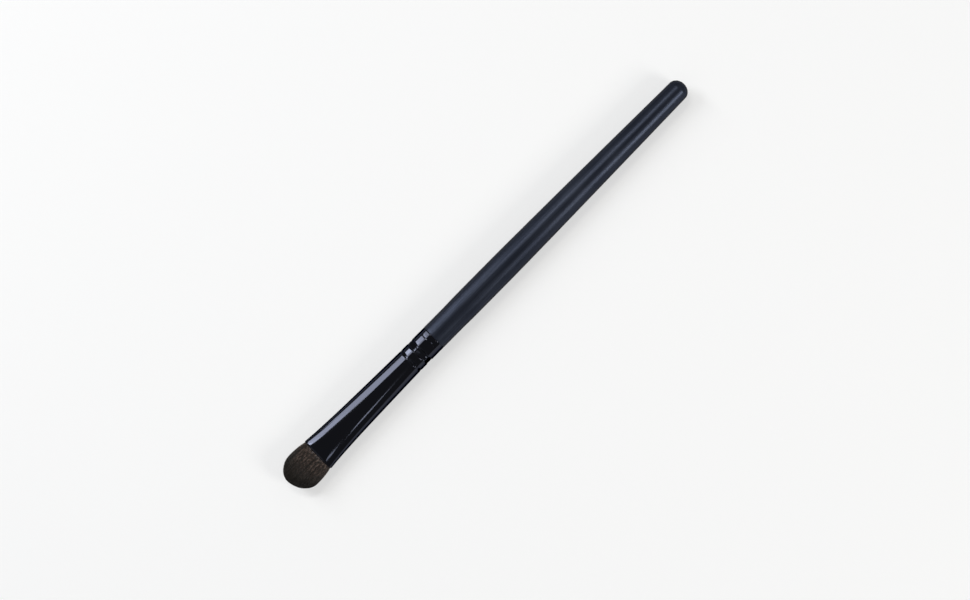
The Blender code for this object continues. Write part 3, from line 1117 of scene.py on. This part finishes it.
@dataclass(frozen=True)
class Tuft:
    """The hair: thousands of fine strands in a flat tuft whose dome leans to one side."""

    ferrule: Ferrule
    root_depth: float = 0.5 * MM
    full_height: float = 6.1 * MM
    full_width: float = 12.0 * MM
    full_thickness: float = 5.3 * MM
    dome_length: float = 5.8 * MM
    dome_crown_share: float = 0.22
    dome_flattening_share: float = 0.6
    tip_width_share: float = 0.93
    tip_thickness_share: float = 0.5
    mouth_clearance: float = 0.02 * MM
    spread_power: float = 0.55
    section_power: float = 2.5
    hair_radius: float = 0.05 * MM
    hair_sides: int = 4
    hair_points: int = 10
    point_length: float = 2.2 * MM
    point_thinning_share: float = 0.75
    columns: int = 118
    rows: int = 52
    scatter_share: float = 0.9
    waver: float = 0.22 * MM
    clump: float = 0.30 * MM
    clump_size: float = 0.9 * MM
    clump_height_share: float = 0.3
    short_share: float = 0.035
    seed: int = 11
    cell_side_margin: float = 0.1
    cell_end_margin: float = 0.05

    def make(self, finish: bpy.types.Material) -> None:
        """Grows each layer of the tuft and shows it.

        Args:
            finish: The hair's material.
        """
        for layer in Layer:
            mesh = self.grow(f"hair_{layer.name.lower()}_layer", layer, finish)
            nodes = ("hair_tuft",) if layer is Layer.UPPER else ()
            shown(mesh, Slot.HAIR, *nodes)

    def spread(self, height: Wire, inner: float, full: float, tip: float) -> Wire:
        """Works out half the tuft's width or thickness at a height over the mouth.

        Args:
            height: The height.
            inner: Half the size at the mouth.
            full: Half the size where the tuft is fullest.
            tip: The share of that left at the top of the dome.

        Returns:
            The half size.
        """
        risen = height.ramp(0.0, self.full_height) * (math.pi / 2)
        swell = risen.math("SINE") ** self.spread_power
        over = height.ramp(self.full_height, self.full_height + self.dome_length)
        return (inner + (full - inner) * swell) * (1 - (1 - tip) * (over * over))

    def grow(self, name: str, layer: Layer, finish: bpy.types.Material) -> bpy.types.Mesh:
        """Grows one layer of strands.

        Args:
            name: The mesh's name.
            layer: Which layer it is.
            finish: The hair's material.

        Returns:
            The mesh of the layer.
        """
        place = self.ferrule.place
        tree = Builder(name)
        roots = self.roots(tree, layer)
        length, radius, sides, count, waver, clump = tree.inputs(
            Hair_Length=place.tip - place.mouth,
            Hair_Radius=self.hair_radius,
            Sides=self.hair_sides,
            Points=self.hair_points,
            Waver=self.waver,
            Clump=self.clump,
        )
        beside, across = tree.named("beside"), tree.named("across")
        line = tree.resampled(tree.add("GeometryNodeCurvePrimitiveLine")["Curve"], count)
        strands = tree.add("GeometryNodeInstanceOnPoints", Points=roots, Instance=line)["Instances"]
        strands = tree.add("GeometryNodeRealizeInstances", strands)["Geometry"]

        off_crown = beside + self.dome_crown_share
        ahead = off_crown.math("GREATER_THAN", 0.0)
        leaning = off_crown / (1 - self.dome_crown_share + ahead * (2 * self.dome_crown_share))
        flattened = across * self.dome_flattening_share
        spread = (leaning * leaning + flattened * flattened).ramp(0.0, 1.0)
        drop = self.dome_length * (1 - (1 - spread).math("SQRT"))
        top = (length - drop) * (1 - tree.named("short") * spread)
        factor = tree.along()
        foot = -(self.ferrule.recess + self.root_depth)
        height = foot + (top - foot) * factor

        inner = self.ferrule.wall + self.mouth_clearance
        mouth_width, mouth_thickness = self.ferrule.mouth_width / 2, self.ferrule.mouth_thickness / 2
        width = self.spread(height, mouth_width - inner, self.full_width / 2, self.tip_width_share)
        thickness = self.spread(
            height, mouth_thickness - inner, self.full_thickness / 2, self.tip_thickness_share
        )
        free = height.ramp(0.0, length, smooth=True)
        sway_x, sway_y, sway_z = tree.split(self.sway(tree, height))
        y = beside * width + sway_y * free * clump + sway_x * free * waver
        z = across * thickness + sway_z * free * clump
        strands = tree.moved(strands, Position=tree.joined(place.mouth + height, y, place.height + z))
        strands = tree.stored(strands, "along", factor)
        thinned = 1 - self.point_thinning_share * height.ramp(top - self.point_length, top) ** 2
        tubes = tree.sweep(strands, radius * thinned, sides, "around")
        return tree.run(self.mapped(tree, tubes), bpy.data.meshes.new("nothing"), finish)

    def roots(self, tree: Builder, layer: Layer) -> Wire:
        """Scatters the roots of a layer.

        Args:
            tree: The tree that they are made in.
            layer: The layer.

        Returns:
            The roots, which carry their place in the tuft and their chances.
        """
        start, end = layer.value
        low, high, columns, rows = tree.inputs(
            Layer_Low=start, Layer_High=end, Columns=self.columns, Rows=self.rows
        )
        square = {"Size_X": 2.0, "Size_Y": 2.0, "Vertices_X": columns, "Vertices_Y": rows}
        grid = tree.add("GeometryNodeMeshGrid", **square)["Mesh"]
        x, y, _ = tree.split(tree.add("GeometryNodeInputPosition")["Position"])
        scatter = self.scatter_share
        for name, value in (
            ("beside", x + tree.chance(-scatter, scatter, self.seed) / columns),
            ("across", y + tree.chance(-scatter, scatter, self.seed + 1) / rows),
            ("strand", tree.chance(0.0, 1.0, self.seed + 2)),
            ("short", tree.chance(0.0, self.short_share, self.seed + 3)),
        ):
            grid = tree.stored(grid, name, value)
        beside, across = tree.named("beside"), tree.named("across")
        filled = abs(beside) ** self.section_power + abs(across) ** self.section_power
        under, over = across.math("LESS_THAN", low), 1 - across.math("LESS_THAN", high)
        unwanted = (filled.math("GREATER_THAN", 1.0) + under + over).math("GREATER_THAN", 0.5)
        grid = tree.add("GeometryNodeDeleteGeometry", grid, unwanted, domain="POINT")["Geometry"]
        grid = tree.stored(grid, "number", tree.add("GeometryNodeInputIndex")["Index"])
        size = tree.add("GeometryNodeAttributeDomainSize", grid)["Point Count"]
        return tree.add("GeometryNodeMeshToPoints", tree.stored(grid, "count", size))["Points"]

    def sway(self, tree: Builder, height: Wire) -> Wire:
        """Works out which way a strand leans, alike for strands that stand together.

        Args:
            tree: The tree that it is worked out in.
            height: The height over the mouth.

        Returns:
            The lean as a vector, each part within half of one.
        """
        y = tree.named("beside") * (self.full_width / 2)
        z = tree.named("across") * (self.full_thickness / 2)
        place = tree.joined(y, z, height * self.clump_height_share)
        noise = tree.add("ShaderNodeTexNoise", Vector=place, Scale=1 / self.clump_size, Detail=2.0)
        return tree.vector("SUBTRACT", noise["Color"], (0.5, 0.5, 0.5))

    def mapped(self, tree: Builder, tubes: Wire) -> Wire:
        """Gives every strand its own cell of the UV map, up for its length.

        Args:
            tree: The tree that it is done in.
            tubes: The strands.

        Returns:
            The strands with their UV map.
        """
        number, count = tree.named("number"), tree.named("count")
        cells = count.math("SQRT").math("CEIL")
        row = (number / cells).math("FLOOR")
        side, end = self.cell_side_margin, self.cell_end_margin
        u = (number - row * cells + side + tree.named("around") * (1 - 2 * side)) / cells
        v = (row + end + tree.named("along") * (1 - 2 * end)) / cells
        return tree.stored(tubes, "OFBake", tree.joined(u, v, 0.0), domain="CORNER", data_type="FLOAT2")


@dataclass(frozen=True)
class SoftLight:
    """A flat lamp that faces a place on the brush's axis.

    Its turn and its slant towards the hair say from which side it shines, its twist how
    it is turned in its own plane, and its brightness is that of its face.
    """

    name: str
    turn: float
    along: float
    length: float
    breadth: float
    brightness: float
    twist: float = 0.0
    slant: float = 0.0
    distance: float = 0.84
    colour: Colour = (0.97, 0.985, 1.0)

    def make(self, height: float) -> None:
        """Hangs the lamp.

        Args:
            height: The height of the brush's axis.
        """
        turn, slant = math.radians(self.turn), math.radians(self.slant)
        beside = Vector((0.0, -math.sin(turn), math.cos(turn)))
        away = beside * math.cos(slant) + Vector((math.sin(slant), 0.0, 0.0))
        level = (Vector((1.0, 0.0, 0.0)) - away * away.x).normalized()
        side = Matrix.Rotation(-math.radians(self.twist), 3, away) @ level
        lamp = bpy.data.lights.new(self.name, "AREA")
        lamp.shape = "RECTANGLE"
        lamp.size, lamp.size_y = self.length, self.breadth
        lamp.energy = self.brightness * math.pi * self.length * self.breadth
        lamp.color = self.colour
        item = bpy.data.objects.new(self.name, lamp)
        bpy.context.scene.collection.objects.link(item)
        facing = Matrix((side, away.cross(side), away)).transposed().to_4x4()
        place = Vector((self.along, 0.0, height)) + away * self.distance
        item.matrix_world = Matrix.Translation(place) @ facing


@dataclass(frozen=True)
class Studio:
    """A pale floor, soft lamps and the camera that took the photograph's view."""

    place: Place
    floor_colour: Colour = (0.945, 0.955, 0.97)
    floor_patch_colour: Colour = (0.93555, 0.94545, 0.9603)
    floor_patches: Pattern = Pattern(90 * MM)
    floor_size: float = 12.0
    floor_roughness: float = 0.9
    floor_gloss: float = 0.1
    floor_whitening: float = 0.50
    warm_white: Colour = (1.0, 0.98, 0.93)
    world_colour: Colour = (1.0, 0.99, 0.96)
    world_strength: float = 0.165
    camera_distance: float = 0.5
    camera_turn: float = -12.0
    camera_clip: Pair = (0.01, 10.0)
    handle_end_pixel: Pair = (684.00, 84.01)
    hair_tip_pixel: Pair = (289.51, 483.58)
    frame_pixels: Pair = (970.0, 600.0)
    sensor: float = 36.0 * MM

    def make(self, resting_radius: float) -> None:
        """Builds the floor, the lamps, the world and the camera.

        Args:
            resting_radius: How far under the brush's axis the floor is.
        """
        self.floor(self.place.height - resting_radius)
        warm = {"distance": 0.80, "colour": self.warm_white}
        for light in (
            SoftLight("near_panel", 52.5, 0.0755, 0.051, 0.75, 5.0),
            SoftLight("key_panel", 49.5, 0.1475, 0.093, 0.66, 6.4),
            SoftLight("crimp_panel", 57.0, 0.0720, 0.016, 0.50, 9.4, distance=0.82),
            SoftLight("mouth_panel", 46.0, 0.2360, 0.084, 0.40, 7.4),
            SoftLight("lip_panel", 42.0, 0.3200, 0.084, 0.33, 8.6),
            SoftLight("mouth_spot", 38.0, 0.335, 0.036, 0.09, 18.0, distance=0.80),
            SoftLight("left_strip", 20.5, -0.160, 0.290, 0.15, 9.8, twist=36.0, **warm),
            SoftLight("right_strip", -58.5, -0.265, 0.25, 0.27, 14.2, **warm),
            SoftLight("right_sliver", -32.7, 0.1050, 0.074, 0.018, 5.2, twist=66.0, distance=0.40),
            SoftLight("mouth_sliver", -13.9, 0.1815, 0.085, 0.015, 3.9, twist=64.0, distance=0.40),
            SoftLight("handle_end_panel", 0.0, 0.0, 0.60, 1.1, 0.28, slant=-52.0, distance=0.80),
            SoftLight("hair_end_panel", 0.0, 0.0, 0.60, 1.1, 0.25, slant=52.0, distance=0.80),
        ):
            light.make(self.place.height)
        self.world()
        self.camera()

    def floor(self, level: float) -> None:
        """Lays the pale floor. It looks nearly white and keeps the brush's shadow.

        Args:
            level: The floor's height.
        """
        half = self.floor_size / 2
        mesh = bpy.data.meshes.new("floor")
        corners = [(-half, -half, level), (half, -half, level), (half, half, level), (-half, half, level)]
        mesh.from_pydata(corners, [], [(0, 1, 2, 3)])
        surface = Surface("pale_floor")
        patches = surface.noise(self.floor_patches)
        surface.finished(
            Base_Color=surface.mix(patches, self.floor_patch_colour, self.floor_colour),
            Roughness=self.floor_roughness,
            Specular_IOR_Level=self.floor_gloss,
        )
        path = surface.add("ShaderNodeLightPath")
        looked_at = path["Is Camera Ray"] + path["Is Glossy Ray"] + path["Is Transmission Ray"]
        whitened = looked_at.ramp(0.0, 1.0) * self.floor_whitening
        lit = Wire(surface, surface.shader.outputs["BSDF"])
        white = surface.add("ShaderNodeEmission", Strength=1.0)["Emission"]
        mixed = surface.add("ShaderNodeMixShader", whitened, lit, white)["Shader"]
        surface.fill(surface.tree.nodes["Material Output"].inputs["Surface"], mixed)
        mesh.materials.append(surface.material)
        floor = bpy.data.objects.new("floor", mesh)
        bpy.context.scene.collection.objects.link(floor)

    def world(self) -> None:
        """Fills the studio with faint even light."""
        world = bpy.data.worlds.new("studio")
        world.use_nodes = True
        background = world.node_tree.nodes["Background"]
        background.inputs["Color"].default_value = (*self.world_colour, 1.0)
        background.inputs["Strength"].default_value = self.world_strength
        bpy.context.scene.world = world

    def camera(self) -> None:
        """Points the camera down at the brush, rolled and framed as in the photograph."""
        width, height = self.frame_pixels
        end, tip = Vector(self.handle_end_pixel), Vector(self.hair_tip_pixel)
        seen = tip - end
        along = Vector((seen.x, -seen.y)).normalized()
        pixel = (self.place.tip - self.place.start) / seen.length
        turn = math.radians(self.camera_turn)
        back = Vector((0.0, -math.sin(turn), math.cos(turn)))
        ahead = Vector((1.0, 0.0, 0.0))
        beside = back.cross(ahead)
        right = ahead * along.x - beside * along.y
        up = ahead * along.y + beside * along.x
        middle = (end + tip) / 2
        off = Vector((middle.x - width / 2, height / 2 - middle.y)) * pixel
        target = Vector(((self.place.start + self.place.tip) / 2, 0.0, self.place.height))
        target -= right * off.x + up * off.y
        data = bpy.data.cameras.new("camera")
        data.sensor_width = self.sensor / MM
        data.lens = data.sensor_width * self.camera_distance / (width * pixel)
        data.clip_start, data.clip_end = self.camera_clip
        camera = bpy.data.objects.new("camera", data)
        bpy.context.scene.collection.objects.link(camera)
        facing = Matrix((right, up, back)).transposed().to_4x4()
        camera.matrix_world = Matrix.Translation(target + back * self.camera_distance) @ facing
        bpy.context.scene.camera = camera


def main() -> None:
    """Builds every piece of the brush in order, then the studio."""
    logging.basicConfig(level=logging.INFO, format="%(name)s: %(message)s")
    bpy.context.scene.view_settings.view_transform = "Standard"
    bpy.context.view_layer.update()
    place = Place.found()
    handle, ferrule = Handle(place), Ferrule(place)
    handle.make(SatinLacquer().make())
    ferrule.make(GlossEnamel().make(place.shoulder, place.mouth))
    filling = Filling(ferrule)
    filling.plug(handle.tenon_length, CuredGlue().make())
    Roots(filling).make(CuredResin().make(), WaxedThread().make())
    Tuft(ferrule).make(DarkHair().make())
    Studio(place).make(handle.full_radius)


if __name__ == "__main__":
    main()
